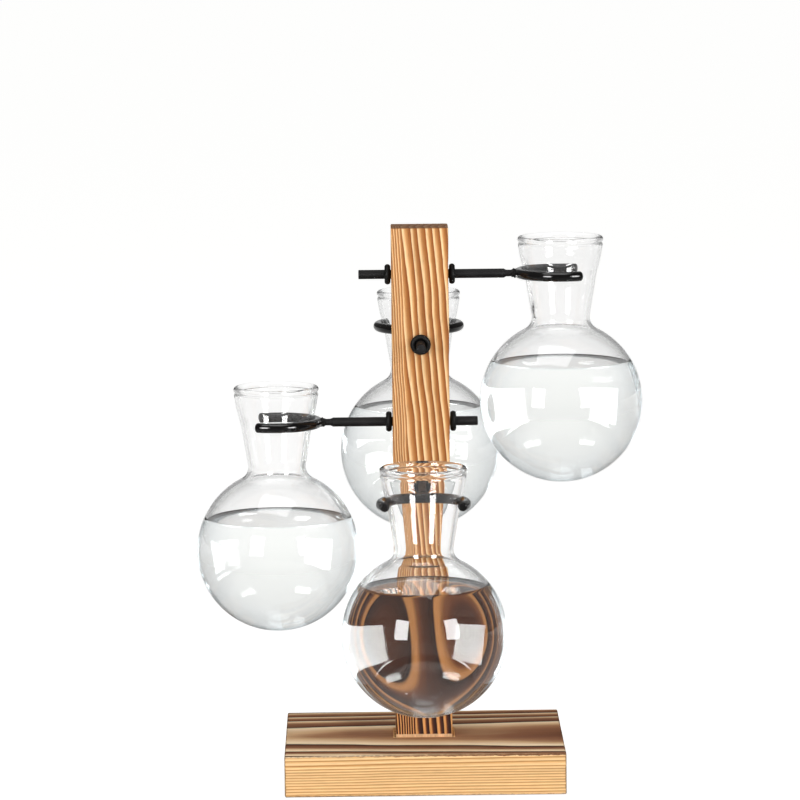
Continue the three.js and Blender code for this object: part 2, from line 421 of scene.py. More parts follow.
def makeFloor():
    look = stageLook
    bpy.ops.mesh.primitive_circle_add(vertices=look["floorSides"], radius=look["floorRadius"], fill_type="NGON",
                                      location=(0, 0, -look["floorDrop"]))
    floor = bpy.context.object
    floor.name = "floor"
    material, shader, position = newMaterial("paleFloor")
    tree = shader.id_data
    tree.nodes.remove(shader)
    seen, mirrored, inside, glassed = lightPath(tree)
    y = separate(position)[1]
    paper = mixColour(noise(position, 3.0, 2.0), look["paperDark"], look["paperLight"])
    # Mirrored in glass and gloss, the paper in front of the object turns a plain grey as a painted reflection
    ahead = smoothStep(y, -0.06, -0.2)
    paper = mixColour(times(ahead, mirrored), paper, grey(look["mirroredFloor"]))
    paper = mixColour(inside, paper, glassed)
    paper = mixColour(seen, paper, grey(look["floorShade"]))
    diffuse = newNode(tree, "ShaderNodeBsdfDiffuse", {"Color": paper})
    # Behind the object, the paper glows only where glass and gloss mirror it: a painted reflection, not a lamp
    paintedReflectionBehind = times(smoothStep(y, 0.1, 0.6, 0.0, look["floorPaintedReflection"]), mirrored)
    strength = add(times(seen, look["floorGlow"]), paintedReflectionBehind)
    glow = newNode(tree, "ShaderNodeEmission", {"Color": look["white"], "Strength": strength})
    toSurface(newNode(tree, "ShaderNodeAddShader", (diffuse, glow)))
    floor.data.materials.append(material)


def makeWorld():
    look = stageLook
    world = bpy.data.worlds.new("paleStudio")
    scene.world = world
    world.use_nodes = True
    tree = world.node_tree
    seen, mirrored, inside, glassed = lightPath(tree)
    x, y, _ = separate(tree.nodes.new("ShaderNodeTexCoord").outputs["Generated"])
    wall = times(smoothStep(maths("ABSOLUTE", x), 0.3, 0.1), smoothStep(y, 0.0, 0.3))
    studio = mixColour(wall, grey(look["sideGlossy"]), grey(look["wallGlossy"]))
    studio = mixColour(inside, studio, glassed)
    level = mixColour(mirrored, grey(look["worldDiffuse"]), studio)
    feed(tree.nodes["Background"].inputs["Color"], mixColour(seen, level, look["white"]))


def makeBox(name, azimuth, elevation, width, height, power):
    look = stageLook
    lamp = bpy.data.lights.new(name, "AREA")
    lamp.shape = "RECTANGLE"
    lamp.size, lamp.size_y = width, height
    lamp.energy = power
    box = newObject(name, lamp)
    a, e = math.radians(azimuth), math.radians(elevation)
    back = Vector((math.sin(a) * math.cos(e), -math.cos(a) * math.cos(e), math.sin(e)))
    turn = back.to_track_quat("Z", "Y")
    aim = Vector(look["boxAim"])
    box.location = aim + back * look["boxDistance"]
    box.rotation_mode = "QUATERNION"
    box.rotation_quaternion = turn
    box.visible_camera = False
    return Matrix.Translation(aim + back * (look["boxDistance"] + look["clothBehind"])) @ turn.to_matrix().to_4x4()


def makeCloth(name, frontOfBox, width, height):
    # The bright cloth of a box, which only glass and gloss show
    bpy.ops.mesh.primitive_plane_add(size=1)
    cloth = bpy.context.object
    cloth.name = name + "Cloth"
    cloth.data.transform(frontOfBox @ Matrix.Diagonal((width, height, 1, 1)))
    glare = bpy.data.materials.new(name + "Cloth")
    glare.use_nodes = True
    tree = glare.node_tree
    tree.nodes.remove(tree.nodes["Principled BSDF"])
    toSurface(newNode(tree, "ShaderNodeEmission", {"Strength": stageLook["clothGlare"]}))
    cloth.data.materials.append(glare)
    cloth.visible_camera = cloth.visible_diffuse = cloth.visible_shadow = False


def makeCamera():
    look = cameraLook
    camera = bpy.data.cameras.new("camera")
    camera.sensor_width = 36
    camera.lens = look["lens"]
    camera.clip_end = 60
    view = newObject("camera", camera)
    heading, tilt, roll = [math.radians(angle) for angle in (look["heading"], 90 - look["down"], look["roll"])]
    view.matrix_world = (Matrix.Translation(look["place"]) @ Matrix.Rotation(heading, 4, "Z")
                         @ Matrix.Rotation(tilt, 4, "X") @ Matrix.Rotation(roll, 4, "Z"))
    scene.camera = view
    scene.view_settings.view_transform = "Standard"
    scene.cycles.max_bounces = scene.cycles.transmission_bounces = look["bounces"]
    scene.cycles.transparent_max_bounces = look["bounces"]


makeFloor()
makeWorld()
for boxName, boxValues in stageLook["boxes"].items():
    frontOfBox = makeBox(boxName, *boxValues)
    if boxName != "softboxTop":
        makeCloth(boxName, frontOfBox, *boxValues[2:4])
makeCamera()
print("stage, lamps and camera set")


# Wood blocks: a fine lattice over a block with eased edges, then the relief of its rings

def lattice(low, high, step, edge):
    # Places of the lines along one side, closer together on the eased edges
    near = [0, 0.15, 0.35, 0.6, 0.85, 1.0]
    inner = np.linspace(low + edge, high - edge, max(2, round((high - low - 2 * edge) / step)) + 1)
    first = [low + edge * n for n in near[:-1]]
    last = [high - edge * n for n in reversed(near[:-1])]
    return first + list(inner) + last


def withLines(lines, extra):
    # Moves the nearest line onto each place that has to be met
    lines = list(lines)
    for value in extra:
        nearest = min(range(len(lines)), key=lambda i: abs(lines[i] - value))
        lines[nearest] = value
    return lines


def blockMesh(name, low, high, edge, lines, pocket=None):
    # pocket is (half width, half depth, floor height) of a mortise in the top
    xs, ys, zs = lines
    index, points, faces = {}, [], []

    def point(x, y, z, rounded=True):
        key = (round(x, 5), round(y, 5), round(z, 5))
        if key not in index:
            p = Vector((x, y, z))
            if rounded:
                core = Vector([min(max(p[k], low[k] + edge), high[k] - edge) for k in range(3)])
                if (p - core).length > 1e-9:
                    p = core + (p - core).normalized() * edge
            index[key] = len(points)
            points.append(p * mm)
        return index[key]

    def sheet(first, second, at, skip=None, rounded=True):
        for i in range(len(first) - 1):
            for j in range(len(second) - 1):
                if skip and skip((first[i] + first[i + 1]) / 2, (second[j] + second[j + 1]) / 2):
                    continue
                faces.append([point(*at(a, b), rounded=rounded) for a, b in (
                    (first[i], second[j]), (first[i + 1], second[j]),
                    (first[i + 1], second[j + 1]), (first[i], second[j + 1]))])

    inPocket = None
    if pocket:
        halfX, halfY, floor = pocket
        inPocket = lambda x, y: abs(x) < halfX and abs(y) < halfY
    sheet(xs, ys, lambda a, b: (a, b, high[2]), inPocket)
    sheet(ys, xs, lambda a, b: (b, a, low[2]))
    sheet(xs, zs, lambda a, b: (a, low[1], b))
    sheet(zs, xs, lambda a, b: (b, high[1], a))
    sheet(ys, zs, lambda a, b: (high[0], a, b))
    sheet(zs, ys, lambda a, b: (low[0], b, a))
    if pocket:
        pocketX = [x for x in xs if abs(x) <= halfX + 1e-6]
        pocketY = [y for y in ys if abs(y) <= halfY + 1e-6]
        depths = [floor, (floor + high[2]) / 2, high[2]]
        sheet(pocketX, pocketY, lambda a, b: (a, b, floor), None, False)
        sheet(depths, pocketX, lambda a, b: (b, -halfY, a), None, False)
        sheet(pocketX, depths, lambda a, b: (a, halfY, b), None, False)
        sheet(pocketY, depths, lambda a, b: (-halfX, a, b), None, False)
        sheet(depths, pocketY, lambda a, b: (halfX, b, a), None, False)
    return meshFrom(name, points, faces)


def cutOut(mesh, made, overlap):
    # Cuts the shapes in a bmesh out of a mesh
    piece = newObject("blank", mesh)
    cutterMesh = bpy.data.meshes.new("cutter")
    made.to_mesh(cutterMesh)
    made.free()
    cutter = newObject("cutter", cutterMesh)
    modifier = piece.modifiers.new("cut", "BOOLEAN")
    modifier.operation = "DIFFERENCE"
    modifier.solver = "EXACT"
    modifier.use_self = overlap
    modifier.object = cutter
    cut = evaluated(piece)
    bpy.data.objects.remove(cutter)
    return cut


def cutRound(mesh, cylinders):
    # Cuts round holes, each given by its centre, axis, radius and length in millimetres
    made = bmesh.new()
    for centre, axis, radius, length in cylinders:
        turn = Vector(axis).to_track_quat("Z", "Y").to_matrix().to_4x4()
        bmesh.ops.create_cone(made, cap_ends=True, segments=40, radius1=radius * mm, radius2=radius * mm,
                              depth=length * mm, matrix=Matrix.Translation(Vector(centre) * mm) @ turn)
    return cutOut(mesh, made, False)


def makeReliefTree():
    inputs = [("Geometry", "Geometry", None), *ringInputs, ("Depth", "Float", 0.0), ("Side Depth", "Float", 0.0),
              ("Grain Along X", "Bool", False), ("Wood", "Material", None)]
    tree, given, result = newGroup("brushedRelief", "GeometryNodeTree", inputs, [("Geometry", "Geometry")])
    position = tree.nodes.new("GeometryNodeInputPosition").outputs[0]
    inMm = vectorMaths("MULTIPLY", position, (1000.0, 1000.0, 1000.0))
    x, y, z = separate(inMm)
    turned = tree.nodes.new("GeometryNodeSwitch")
    turned.input_type = "VECTOR"
    feedAll(turned, (given["Grain Along X"], inMm, combine(y, z, x)))
    rings = tree.nodes.new("GeometryNodeGroup")
    rings.node_tree = ringsInRelief
    feedAll(rings, {"Position": turned.outputs[0], **{label: given[label] for label in ringDefaults}})
    ring = rings.outputs["Ring"]
    ridge = times(smoothStep(ring, 0.3, 0.8), smoothStep(ring, 0.95, 1.0, 1.0, 0.0))
    hollow = minus(1.0, ridge)
    normal = tree.nodes.new("GeometryNodeInputNormal").outputs[0]
    up = maths("ABSOLUTE", separate(normal)[2])
    depth = tree.nodes.new("ShaderNodeMix")
    feedAll(depth, {0: up, 2: given["Side Depth"], 3: given["Depth"]})
    calm = times(rings.outputs["Fine"], -0.6)
    depthHere = times(depth.outputs[0], add(calm, 1.0))
    sink = times(times(hollow, depthHere), -0.001)
    offset = vectorMaths("MULTIPLY", normal, combine(sink, sink, sink))
    moved = newNode(tree, "GeometryNodeSetPosition", {"Geometry": given["Geometry"], "Offset": offset})
    finishGeometry(moved, given["Wood"], result)
    return tree


def runNodes(mesh, tree, values):
    # Runs a geometry tree on a mesh and gives back the plain result
    piece = newObject("blank", mesh)
    modifier = piece.modifiers.new("shape", "NODES")
    modifier.node_group = tree
    for item in tree.interface.items_tree:
        if item.in_out == "INPUT" and item.name in values:
            modifier[item.identifier] = values[item.name]
    return evaluated(piece)


reliefTree = makeReliefTree()

baseLook = {
    "edge": 0.7, "step": 0.42, "stepAlong": 2.0, "mortise": (13.5, 10.75, 7.0),
    # Radius and length of the round holes
    "recess": (4.5, 6.0), "screwHole": (2.1, 8.0),
    "rings": {"Pith U": -5.7, "Pith V": -190.0, "Ring Width": 1.2526, "Fine Width": 2.1, "Fine From": 208.9,
              "Slant": 0.004, "Lean": 0.0, "Wander": 0.55, "Wave": 0.8, "Seed": 5.0},
    "depth": 0.45, "sideDepth": 0.06,
    "raw": [(0.0, "F4CA92"), (0.28, "F7D09A"), (0.55, "EFC085"), (0.78, "CE9A5E"), (0.93, "AD7641"), (1.0, "E9BA80")],
    "scorched": [(0.0, "1E0C05"), (0.06, "4A2511"), (0.16, "744529"), (0.4, "8A5A3C"), (0.58, "A67853"),
                 (0.74, "D6AE82"), (0.95, "F4DAB4"), (1.0, "2A130A")],
    "ash": "B8946C", "soot": "5C3623", "arris": "3A1F10", "arrisWidth": 0.8,
    "fibre": (0.86, 1.08), "streak": (0.93, 1.05), "tone": (0.92, 1.06), "pore": 0.9, "poreDepth": -0.3,
    "roughness": (0.8, 0.64), "specular": 0.18, "grain": 0.00012,
}

postLook = {
    "edge": 0.5, "step": 0.3, "stepAlong": 1.7, "rodHole": (2.7, 40.0), "screwHole": (2.1, 42.0),
    "rings": {"Pith U": 34.5, "Pith V": -5.0, "Ring Width": 3.3, "Fine Width": 1.2, "Fine From": 38.4,
              "Slant": 0.021, "Lean": -0.0187, "Wander": 1.4, "Wave": 1.7, "Seed": 7.0},
    "depth": 0.03, "sideDepth": 0.2,
    "toasted": [(0.0, "8C4C18"), (0.12, "A05C24"), (0.36, "B8763A"), (0.54, "CE9054"), (0.68, "EDB67B"),
                (0.79, "FFD39B"), (0.93, "FFD9A4"), (0.985, "CC8A50"), (1.0, "8C4C18")],
    "scorched": [(0.0, "2A0E04"), (0.3, "3F1A08"), (0.46, "5C2B11"), (0.57, "A8642F"), (0.66, "EAA45F"),
                 (0.92, "F0AC66"), (1.0, "331205")],
    "bulbShadedScorch": [(0.0, "220B03"), (0.45, "451C08"), (0.66, "6E3816"), (0.8, "BC7C42"), (0.95, "BE7E44"),
                (1.0, "260D04")],
    "end": [(0.0, "74492A"), (0.5, "8A613A"), (0.9, "966C42"), (1.0, "6C4628")],
    # Heights over which one finish of the post turns into the next. From 34 to 46 mm up to the top of the scorch, the
    # scorched wood is darkened further as painted shade of the front bulb
    "bulbShadeFrom": (34.0, 46.0), "scorchedTo": (101.0, 85.0), "scorchLimit": (104.0, 95.0), "sparedTo": (20.35, 20.05),
    "fine": "DDA368", "spared": "F2C596", "arris": "8A5A30", "arrisWidth": 0.9,
    "fibre": (0.84, 1.08), "streak": (0.88, 1.08), "tone": (0.9, 1.04), "pore": 0.8, "poreDepth": -1.2,
    "roughness": (0.68, 0.5), "specular": 0.25, "grain": 0.0001,
}


def woodPattern(look, low, high, inMm, along):
    rings = place(ringsInShader, {"Position": along, **look["rings"]})
    fibres = place(woodFibres, {"Position": along})
    edges = place(arris, {"Position": inMm, "Centre": (high + low) / 2, "Half Size": (high - low) / 2,
                          "Width": look["arrisWidth"]})["Mask"]
    return rings, fibres, edges


def finishWood(shader, look, colour, rings, fibres):
    # Fibres, streaks, rings and pores each lighten or darken the wood a little
    shade = remap(fibres["Fibre"], 0.3, 0.7, *look["fibre"])
    shade = times(shade, remap(fibres["Streak"], 0.3, 0.7, *look["streak"]))
    shade = times(shade, remap(rings["Tone"], 0.0, 1.0, *look["tone"]))
    shade = times(shade, remap(fibres["Pore"], 0.0, 1.0, 1.0, look["pore"]))
    rough = add(remap(rings["Ring"], 0.3, 0.9, *look["roughness"]), times(fibres["Fibre"], 0.14))
    height = add(fibres["Fibre"], times(fibres["Pore"], look["poreDepth"]))
    feedAll(shader, {"Base Color": vectorMaths("MULTIPLY", colour, combine(shade, shade, shade)), "Roughness": rough,
                     "Specular IOR Level": look["specular"], "Normal": bump(height, look["grain"], 0.7)})


def makeBaseWood(low, high):
    look = baseLook
    material, shader, position = newMaterial("scorchedPine")
    inMm = vectorMaths("MULTIPLY", position, (1000.0, 1000.0, 1000.0))
    x, y, z = separate(inMm)
    rings, fibres, edges = woodPattern(look, low, high, inMm, combine(y, z, x))
    wander = times(minus(noise(inMm, 0.5, 3.0), 0.5), 1.2)
    fromTop = minus(high[2], add(z, wander))
    awayX, awayY = maths("ABSOLUTE", x), maths("ABSOLUTE", y)
    fromSide = minus(high[0], add(awayX, times(wander, 0.4)))
    top = smoothStep(fromTop, 1.0, 0.75)
    side = smoothStep(fromSide, 0.5, 0.15)
    # The eased bottom edge darkens towards the floor
    under = times(smoothStep(z, 0.55, 0.2), 0.7)
    # The post kept the flame off a narrow strip around the mortise
    halfX, halfY, _ = look["mortise"]
    beside = maths("MAXIMUM", minus(awayX, halfX), minus(awayY, halfY))
    reached = smoothStep(add(beside, times(wander, 0.25)), 0.45, 0.8)
    scorch = maths("MAXIMUM", times(top, reached), maths("MAXIMUM", side, under))
    burnt = ramp(rings["Ring"], look["scorched"])
    ash = smoothStep(fibres["Patch"], 0.52, 0.74, 0.0, 0.25)
    soot = smoothStep(fibres["Patch"], 0.45, 0.25, 0.0, 0.35)
    burnt = mixColour(soot, mixColour(ash, burnt, linear(look["ash"])), linear(look["soot"]))
    colour = mixColour(scorch, ramp(rings["Ring"], look["raw"]), burnt)
    colour = mixColour(times(edges, 0.85), colour, linear(look["arris"]))
    finishWood(shader, look, colour, rings, fibres)
    return material


def makePostWood(low, high):
    look = postLook
    material, shader, position = newMaterial("toastedPine")
    inMm = vectorMaths("MULTIPLY", position, (1000.0, 1000.0, 1000.0))
    z = separate(inMm)[2]
    rings, fibres, edges = woodPattern(look, low, high, inMm, inMm)
    wander = minus(noise(inMm, 0.35, 3.0), 0.5)
    toasted = ramp(rings["Ring"], look["toasted"])
    toasted = mixColour(times(rings["Fine"], 0.22), toasted, linear(look["fine"]))
    # Scorched wood at the foot; higher up, the darker band is painted shade of the front bulb over the scorched wood
    burnt = mixColour(smoothStep(z, *look["bulbShadeFrom"]), ramp(rings["Ring"], look["scorched"]),
                      ramp(rings["Ring"], look["bulbShadedScorch"]))
    foot = smoothStep(z, *look["scorchedTo"])
    foot = add(foot, times(minus(fibres["Patch"], 0.5), 0.2), clamp=True)
    foot = times(foot, smoothStep(z, *look["scorchLimit"]))
    colour = mixColour(foot, toasted, burnt)
    spared = smoothStep(add(z, times(wander, 0.3)), *look["sparedTo"])
    colour = mixColour(spared, colour, linear(look["spared"]))
    onTop = smoothStep(minus(high[2], z), 0.4, 0.2)
    colour = mixColour(onTop, colour, ramp(rings["Ring"], look["end"]))
    colour = mixColour(times(edges, 0.25), colour, linear(look["arris"]))
    finishWood(shader, look, colour, rings, fibres)
    return material


def reliefValues(look, alongX, material):
    return {**look["rings"], "Depth": look["depth"], "Side Depth": look["sideDepth"], "Grain Along X": alongX,
            "Wood": material}


def makeBase():
    look = baseLook
    low, high = [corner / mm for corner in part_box("base")]
    material = makeBaseWood(low, high)
    halfX, halfY, _ = look["mortise"]
    xs = withLines(lattice(low.x, high.x, look["stepAlong"], look["edge"]), [-halfX, halfX])
    ys = withLines(lattice(low.y, high.y, look["step"], look["edge"]), [-halfY, halfY])
    zs = lattice(low.z, high.z, look["step"], look["edge"])
    mesh = blockMesh("base", low, high, look["edge"], (xs, ys, zs), look["mortise"])
    holes = []
    for side in ("left", "right"):
        x = middleOf("post_screw_" + side)[0] / mm
        holes += [((x, 0, 0), (0, 0, 1), *look["recess"]), ((x, 0, 5), (0, 0, 1), *look["screwHole"])]
    mesh = cutRound(mesh, holes)
    mesh = runNodes(mesh, reliefTree, reliefValues(look, True, material))
    newPiece("base_block", mesh, [material], "stand", ["base"])


def makePost():
    look = postLook
    low, high = [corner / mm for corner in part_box("post")]
    material = makePostWood(low, high)
    xs = lattice(low.x, high.x, look["step"], look["edge"])
    ys = lattice(low.y, high.y, look["step"], look["edge"])
    zs = lattice(low.z, high.z, look["stepAlong"], look["edge"])
    mesh = blockMesh("post", low, high, look["edge"], (xs, ys, zs))
    holes = []
    for name in stationNames:
        a = math.radians(headings[name])
        height = middleOf(name + "_arm_rod")[2] / mm
        holes.append(((0, 0, height), (math.cos(a), math.sin(a), 0), *look["rodHole"]))
    for side in ("left", "right"):
        x = middleOf("post_screw_" + side)[0] / mm
        holes.append(((x, 0, low.z), (0, 0, 1), *look["screwHole"]))
    mesh = cutRound(mesh, holes)
    mesh = runNodes(mesh, reliefTree, reliefValues(look, False, material))
    newPiece("post_bar", mesh, [material], "stand", ["post"])


makeBase()
print("base made")
makePost()
print("post made")


# Screws: seen only from below

screwLook = {"head": 3.7, "headHeight": 2.1, "shank": 1.55, "thread": 1.8, "pitch": 1.4, "length": 26.2,
             "cross": (4.4, 0.9, 2.4), "crossTurns": (20, 110), "zinc": [(0.3, "B9B7AC"), (0.7, "D6D4CC")],
             "roughness": (0.25, 0.45)}


def makeScrews():
    look = screwLook
    material, shader, position = newMaterial("zincScrew")
    cloud = noise(position, 500.0, 3.0)
    feedAll(shader, {"Base Color": ramp(cloud, look["zinc"]), "Metallic": 1.0,
                     "Roughness": remap(cloud, 0.3, 0.7, *look["roughness"]),
                     "Normal": bump(noise(position, 2500.0, 2.0), 0.00005, 0.5)})
    for side in ("left", "right"):
        low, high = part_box("post_screw_" + side)
        foot = Matrix.Translation(((low.x + high.x) / 2, (low.y + high.y) / 2, low.z))
        head, shank, neck = look["head"], look["shank"], look["headHeight"]
        profile = [[0, 0.0], [head - 0.9, 0.0], [head - 0.3, 0.15], [head, 0.5], [head, 0.9], [shank + 0.5, neck],
                   [shank, neck + 0.3]]
        height = neck + 2
        while height < look["length"] - 4:
            profile += [[shank, height], [look["thread"], height + 0.45 * look["pitch"]],
                        [look["thread"], height + 0.55 * look["pitch"]]]
            height += look["pitch"]
        profile += [[shank * 0.9, look["length"] - 3.6], [0, look["length"]]]
        mesh = lathe("screw", [[r * mm, h * mm] for r, h in profile], 40, 40)
        mesh.transform(foot)
        made = bmesh.new()
        for turn in look["crossTurns"]:
            slot = Matrix.Rotation(math.radians(turn), 4, "Z") @ Matrix.Diagonal([s * mm for s in look["cross"]] + [1])
            bmesh.ops.create_cube(made, size=1.0, matrix=foot @ slot)
        mesh = cutOut(mesh, made, True)
        newPiece("screw_" + side, mesh, [material], "stand", ["post_screw_" + side])


makeScrews()
print("screws made")


# Arms: a rod with a thin stud, a weld and an open ring of round bar

armLook = {"rod": 2.1, "stud": 1.55, "studLength": 3.9, "ringRadius": 18.96, "bar": 2.25, "mouth": 62.4, "tip": 0.95,
           "ringSteps": 360, "ringSides": 28, "weld": 2.1, "weldBack": 0.9, "weldInto": 1.3,
           "dark": "0C0B0B", "light": "171515",
           # Lowest and highest roughness, depth of the orange peel and specular level
           "satin": (0.5, 0.68, 0.00008, 0.22), "gloss": (0.06, 0.14, 0.00003, 0.5)}


def makeBarRingTree():
    inputs = [("Geometry", "Geometry", None), ("Ring Radius", "Float", 0.02), ("Bar Radius", "Float", 0.002),
              ("Mouth", "Float", 1.0), ("Tip", "Float", 0.001), ("Steps", "Int", 360), ("Sides", "Int", 28),
              ("Paint", "Material", None)]
    tree, given, result = newGroup("openBarRing", "GeometryNodeTree", inputs, [("Geometry", "Geometry")])
    sweep = minus(2 * math.pi, times(given["Mouth"], 2.0))
    line = newNode(tree, "GeometryNodeCurveArc", {"Resolution": given["Steps"], "Radius": given["Ring Radius"],
                                                  "Start Angle": given["Mouth"], "Sweep Angle": sweep})
    along = tree.nodes.new("GeometryNodeSplineParameter").outputs["Factor"]
    length = times(sweep, given["Ring Radius"])
    fromEnd = times(maths("MINIMUM", along, minus(1.0, along)), length)
    inward = minus(1.0, maths("DIVIDE", fromEnd, given["Tip"]), clamp=True)
    rounding = minus(1.0, maths("SQRT", minus(1.0, times(inward, inward), clamp=True)))
    size = minus(given["Bar Radius"], times(rounding, given["Tip"]))
    section = newNode(tree, "GeometryNodeCurvePrimitiveCircle", {"Resolution": given["Sides"], "Radius": 1.0})
    bar = newNode(tree, "GeometryNodeCurveToMesh",
                  {"Curve": line, "Profile Curve": section, "Scale": size, "Fill Caps": True})
    finishGeometry(newNode(tree, "GeometryNodeSetShadeSmooth", {"Geometry": bar}), given["Paint"], result)
    return tree


def makePaint(name, smooth, dull, peel, specular):
    material, shader, position = newMaterial(name)
    skin = place(paintSkin, {"Position": position, "Dark": linear(armLook["dark"]), "Light": linear(armLook["light"]),
                             "Smooth": smooth, "Dull": dull})
    feedAll(shader, {"Base Color": skin["Colour"], "Roughness": skin["Roughness"], "Specular IOR Level": specular,
                     "Normal": bump(skin["Height"], peel, 0.6)})
    return material


def weldMesh(name, tip, ringFace):
    # An uneven bead that runs from the stud onto the ring's bar
    look = armLook
    points, rows = [], []
    steps, sides = 30, 44
    start, end = tip - look["weldBack"], ringFace + look["weldInto"]
    seed = stationNames.index(name) * 1.7
    for i in range(steps + 1):
        t = i / steps
        x = start + (end - start) * t
        rise = math.sin(math.pi * min(1.0, 0.12 + 0.62 * t)) ** 1.4
        swell = look["stud"] * 0.9 + (look["weld"] - look["stud"] * 0.9) * rise
        if i in (0, steps):
            rows.append([len(points)])
            points.append((x * mm, 0, 0))
            continue
        row = []
        for k in range(sides):
            a = 2 * math.pi * k / sides
            lumps = 1 + 0.07 * math.sin(3 * a + 9 * t + seed) + 0.05 * math.sin(5 * a - 14 * t + 2 * seed)
            wide = 1 + 0.5 * t * math.cos(a) ** 2
            row.append(len(points))
            points.append((x * mm, swell * lumps * wide * math.cos(a) * mm, swell * lumps * math.sin(a) * mm))
        rows.append(row)
    return meshFrom("weld", points, skinRows(rows, sides))


def makeArms():
    look = armLook
    ringTree = makeBarRingTree()
    satin = makePaint("satinBlack", *look["satin"])
    gloss = makePaint("glossBlack", *look["gloss"])
    for name in stationNames:
        reach = reachOf(name)
        low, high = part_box(name + "_arm_rod")
        a = math.radians(headings[name])
        toward = Vector((math.cos(a), math.sin(a), 0))
        ends = sorted((toward.dot(low), toward.dot(high)))
        start, tip = ends[0] / mm, ends[1] / mm
        rod, stud, shoulder = look["rod"], look["stud"], tip - look["studLength"]
        profile = [[0, start], [rod - 0.45, start], [rod - 0.2, start + 0.06], [rod - 0.05, start + 0.2],
                   [rod, start + 0.45], [rod, shoulder - 0.5], [rod - 0.06, shoulder - 0.2],
                   [rod - 0.25, shoulder + 0.05], [stud + 0.1, shoulder + 0.5], [stud, shoulder + 0.8],
                   [stud * 0.97, tip - 0.6], [stud * 0.95, tip - 0.02], [0, tip]]
        steps = []
        for (r0, h0), (r1, h1) in zip(profile, profile[1:]):
            count = max(1, round((h1 - h0) / 3))
            steps += [[(r0 + (r1 - r0) * k / count) * mm, (h0 + (h1 - h0) * k / count) * mm] for k in range(count)]
        steps.append([0, tip * mm])
        mesh = lathe("rod", steps, 40, 50)
        mesh.transform(Matrix.Rotation(math.pi / 2, 4, "Y"))
        mesh.transform(armFrame(name, 0))
        newPiece(name + "_rod", mesh, [satin], name + "_arm", [name + "_arm_rod"])

        mesh = weldMesh(name, tip, reach / mm - look["ringRadius"] - look["bar"])
        mesh.transform(armFrame(name, 0))
        newPiece(name + "_weld", mesh, [satin], name + "_arm", [])

        blank = bpy.data.meshes.new("blank")
        values = {"Ring Radius": look["ringRadius"] * mm, "Bar Radius": look["bar"] * mm,
                  "Mouth": math.radians(look["mouth"]), "Tip": look["tip"] * mm, "Steps": look["ringSteps"],
                  "Sides": look["ringSides"], "Paint": gloss}
        mesh = runNodes(blank, ringTree, values)
        mesh.transform(armFrame(name, reach))
        newPiece(name + "_ring", mesh, [gloss], name + "_arm", [name + "_holder_ring"])


makeArms()
print("arms made")


# Grommets

grommetLook = {"inner": 2.2, "width": 2.45, "thickness": 2.7, "specular": 0.22, "roughness": (0.45, 0.62),
               "rubber": [(0.35, "080807"), (0.62, "100F0E"), (0.8, "24221F")]}


def makeGrommetTree():
    inputs = [("Geometry", "Geometry", None), ("Radius", "Float", 0.003),
              ("Width", "Float", 0.002), ("Thickness", "Float", 0.002), ("Rubber", "Material", None)]
    tree, given, result = newGroup("rubberRing", "GeometryNodeTree", inputs, [("Geometry", "Geometry")])
    line = newNode(tree, "GeometryNodeCurvePrimitiveCircle", {"Resolution": 56, "Radius": given["Radius"]})
    section = newNode(tree, "GeometryNodeCurvePrimitiveCircle", {"Resolution": 28, "Radius": 0.5})
    size = combine(given["Width"], given["Thickness"], 1.0)
    flat = newNode(tree, "GeometryNodeTransform", {"Geometry": section, "Scale": size})
    ring = newNode(tree, "GeometryNodeCurveToMesh", {"Curve": line, "Profile Curve": flat})
    finishGeometry(newNode(tree, "GeometryNodeSetShadeSmooth", {"Geometry": ring}), given["Rubber"], result)
    return tree


def makeGrommets():
    look = grommetLook
    tree = makeGrommetTree()
    material, shader, position = newMaterial("blackRubber")
    dust = noise(position, 900.0, 4.0, 0.65)
    feedAll(shader, {"Base Color": ramp(dust, look["rubber"]), "Specular IOR Level": look["specular"],
                     "Roughness": remap(dust, 0.3, 0.7, *look["roughness"]),
                     "Normal": bump(noise(position, 2600.0, 3.0), 0.00006, 0.6)})
    for name in stationNames:
        for side in ("outer", "inner"):
            node = f"{name}_{side}_grommet"
            blank = bpy.data.meshes.new("blank")
            middle = look["inner"] + look["width"] / 2
            mesh = runNodes(blank, tree, {"Radius": middle * mm, "Width": look["width"] * mm,
                                          "Thickness": look["thickness"] * mm, "Rubber": material})
            mesh.transform(Matrix.Rotation(math.pi / 2, 4, "Y"))
            mesh.transform(Matrix.Rotation(math.radians(headings[name]), 4, "Z"))
            mesh.transform(Matrix.Translation(middleOf(node)))
            newPiece(f"{name}_{side}_rubber", mesh, [material], name + "_grommets", [node])


makeGrommets()
print("grommets made")


# Vases and their water, measured from the centre of the bulb

vaseLook = {
    "bulb": 37.0, "wall": 1.6, "waist": 13.0, "waistHeight": 38.0, "flare": 0.163, "opening": 0.75,
    "openingFrom": 57.0, "openingTo": 67.0, "fillet": 6.0, "rim": 75.6, "bead": 1.4, "sides": 144, "ior": 1.48,
    # Colours from square on to grazing: the glass above the water, the outside of the part around the water and its wet
    # inside. The first two darken towards grazing as painted shade along the glass's edges
    "dryGlassEdgeShade": [(0.0, "FFFFFF"), (0.6, "FFFFFF"), (0.68, "F6F7F7"), (0.73, "FCFCFC"), (0.82, "F4F5F5"), (0.9, "DADCDE"),
            (1.0, "AEB2B5")],
    "filledGlassEdgeShade": [(0.0, "FFFFFF"), (0.67, "FFFFFF"), (0.75, "DCE0E2"), (0.81, "A6ABAE"), (1.0, "8E9397")],
    "wet": [(0.0, "FBFCFB"), (1.0, "FFFFFF")],
}

waterLook = {
    "into": 0.3, "meniscus": 0.35, "reach": 2.4, "sides": 128, "ior": 1.333,
    "levels": {"right": 18, "rear": 20.5, "left": 15, "front": 22},
    # Colours from square on to grazing: the darker ring and the darker edge are painted shade in the water
    "clear": [(0.0, "FAFBFA"), (0.09, "F4F5F5"), (0.19, "E2E5E7"), (0.28, "D3D8DB"), (0.6, "F4F5F5"), (1.0, "E9EBEC")],
    "surface": [(0.0, "FAFBFA"), (1.0, "FFFFFF")],
}


